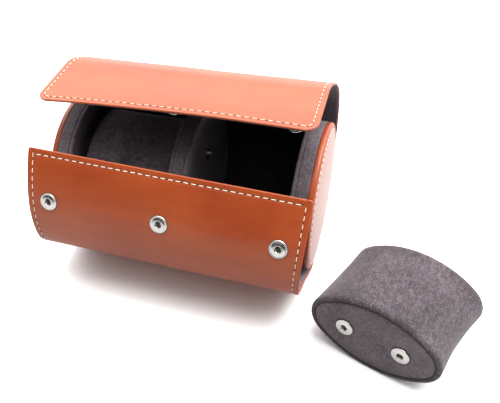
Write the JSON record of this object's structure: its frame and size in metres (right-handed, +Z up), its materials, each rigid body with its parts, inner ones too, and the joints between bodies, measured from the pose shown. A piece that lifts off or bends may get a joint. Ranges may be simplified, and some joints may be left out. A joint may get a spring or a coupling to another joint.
{
  "type": "watch travel case",
  "caption": "Barrel-shaped travel case for two watches: a stiffened leather wrap with a snap lid round two padded compartments, each with an oval pillow held by snaps.",
  "frame": {"origin": "on the floor under the middle of the barrel, at the flat foot of the wrap", "axes": "+X along the barrel to the right seen from the open front, -Y towards the open front, +Z up"},
  "size_m": [0.2685, 0.1532, 0.1265],
  "materials": {
    "wrap_leather": "semi-gloss smooth",
    "pale_leather": "semi-gloss smooth",
    "suede_lining": "napped",
    "grey_board": "pressed fibre board",
    "foam": "soft padding",
    "nickel": "polished nickel"
  },
  "bodies": {
    "case": {"base_leather": "wrap_leather", "base_board": "grey_board", "base_lining": "suede_lining", "cheek_left_core": "grey_board", "cheek_left_suede": "suede_lining", "cheek_right_core": "grey_board", "cheek_right_suede": "suede_lining", "divider_core": "grey_board", "divider_band": "suede_lining", "divider_face_left": "suede_lining", "divider_face_right": "suede_lining", "divider_studs_left": "nickel", "divider_studs_right": "nickel", "trough_left_board": "grey_board", "trough_left_lining": "suede_lining", "trough_right_board": "grey_board", "trough_right_lining": "suede_lining", "end_left_pad": "foam", "end_left_leather": "pale_leather", "end_right_pad": "foam", "end_right_leather": "pale_leather"},
    "fold_lower": {"fold_lower_leather": "wrap_leather", "fold_lower_lining": "suede_lining"},
    "fold_upper": {"fold_upper_leather": "wrap_leather", "fold_upper_lining": "suede_lining"},
    "front_panel": {"panel_leather": "wrap_leather", "panel_board": "grey_board", "panel_lining": "suede_lining", "panel_ring_left": "nickel", "panel_ring_middle": "nickel", "panel_ring_right": "nickel", "panel_springs": "nickel", "panel_socket_backs": "nickel"},
    "back_lower": {"back_lower_leather": "wrap_leather", "back_lower_lining": "suede_lining"},
    "back_upper": {"back_upper_leather": "wrap_leather", "back_upper_lining": "suede_lining"},
    "lid_rear": {"lid_rear_leather": "wrap_leather", "lid_rear_board": "grey_board", "lid_rear_lining": "suede_lining"},
    "lid_front": {"lid_front_leather": "wrap_leather", "lid_front_board": "grey_board", "lid_front_lining": "suede_lining", "lid_stud_left": "nickel", "lid_stud_middle": "nickel", "lid_stud_right": "nickel", "lid_stud_backs": "nickel"},
    "pillow_left": {"pillow_left_core": "foam", "pillow_left_cover": "suede_lining", "pillow_left_near_face": "suede_lining", "pillow_left_far_face": "suede_lining", "pillow_left_rings": "nickel", "pillow_left_springs": "nickel"},
    "pillow_right": {"pillow_right_core": "foam", "pillow_right_cover": "suede_lining", "pillow_right_near_face": "suede_lining", "pillow_right_far_face": "suede_lining", "pillow_right_rings": "nickel", "pillow_right_springs": "nickel"}
  },
  "joints": [
    {"name": "foot_fold", "type": "hinge", "parent": "case", "child": "fold_lower", "pos_m": [0, -0.016, 0.0013], "axis": [1, 0, 0], "range_deg": [-3.52, 1.94]},
    {"name": "front_fold", "type": "hinge", "parent": "fold_lower", "child": "fold_upper", "pos_m": [0, -0.04161, 0.01663], "axis": [1, 0, 0], "range_deg": [-29.41, 16.17]},
    {"name": "panel_fold", "type": "hinge", "parent": "fold_upper", "child": "front_panel", "pos_m": [0, -0.06638, 0.03327], "axis": [1, 0, 0], "range_deg": [-4.24, 7.71]},
    {"name": "back_fold", "type": "hinge", "parent": "case", "child": "back_lower", "pos_m": [0, 0.05001, 0.05588], "axis": [1, 0, 0], "range_deg": [-14.51, 18.14]},
    {"name": "back_bend", "type": "hinge", "parent": "back_lower", "child": "back_upper", "pos_m": [0, 0.04317, 0.10126], "axis": [1, 0, 0], "range_deg": [-3.33, 4.16]},
    {"name": "lid_crease", "type": "hinge", "parent": "back_upper", "child": "lid_rear", "pos_m": [0, 0.004, 0.1252], "axis": [1, 0, 0], "range_deg": [-7.69, 6.15]},
    {"name": "lid_bend", "type": "hinge", "parent": "lid_rear", "child": "lid_front", "pos_m": [0, -0.01583, 0.12259], "axis": [1, 0, 0], "range_deg": [-22.84, 28.55]},
    {"name": "pillow_left_unsnap", "type": "slide", "parent": "case", "child": "pillow_left", "axis": [-1, 0, 0], "range_m": [0, 0.0042]},
    {"name": "pillow_right_lift", "type": "slide", "parent": "case", "child": "pillow_right", "axis": [0, 0, 1], "range_m": [0, 0.12]}
  ],
  "couplings": [
    {"joint": "foot_fold", "follows": "front_fold", "ratio": 0.11976},
    {"joint": "panel_fold", "follows": "front_fold", "ratio": -0.26223},
    {"joint": "back_bend", "follows": "back_fold", "ratio": 0.22933},
    {"joint": "lid_crease", "follows": "back_fold", "ratio": -0.42392},
    {"joint": "lid_bend", "follows": "back_fold", "ratio": 1.5739}
  ]
}
